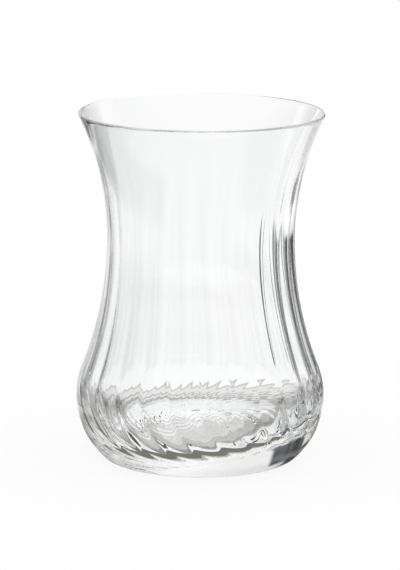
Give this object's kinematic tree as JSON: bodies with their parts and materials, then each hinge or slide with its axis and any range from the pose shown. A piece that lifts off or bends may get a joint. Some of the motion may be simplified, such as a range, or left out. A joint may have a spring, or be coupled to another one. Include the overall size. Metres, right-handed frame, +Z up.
{
  "type": "tea glass",
  "caption": "Waisted clear tea glass with a flared rim, round belly, thick bottom and fine upright flutes inside.",
  "frame": {"origin": "middle of the foot, on the plane that the glass stands on", "axes": "+Z up along the glass's axis, towards the rim; the outside is alike all round; the first ridge between two flutes lies on +X, and the cavity floor rises to the back and right, towards +Y and +X"},
  "size_m": [0.0714, 0.0714, 0.1],
  "materials": {
    "clear_glass": "clear, fire-polished soda-lime glass"
  },
  "bodies": {
    "root": {"glass": "clear_glass"}
  },
  "joints": []
}
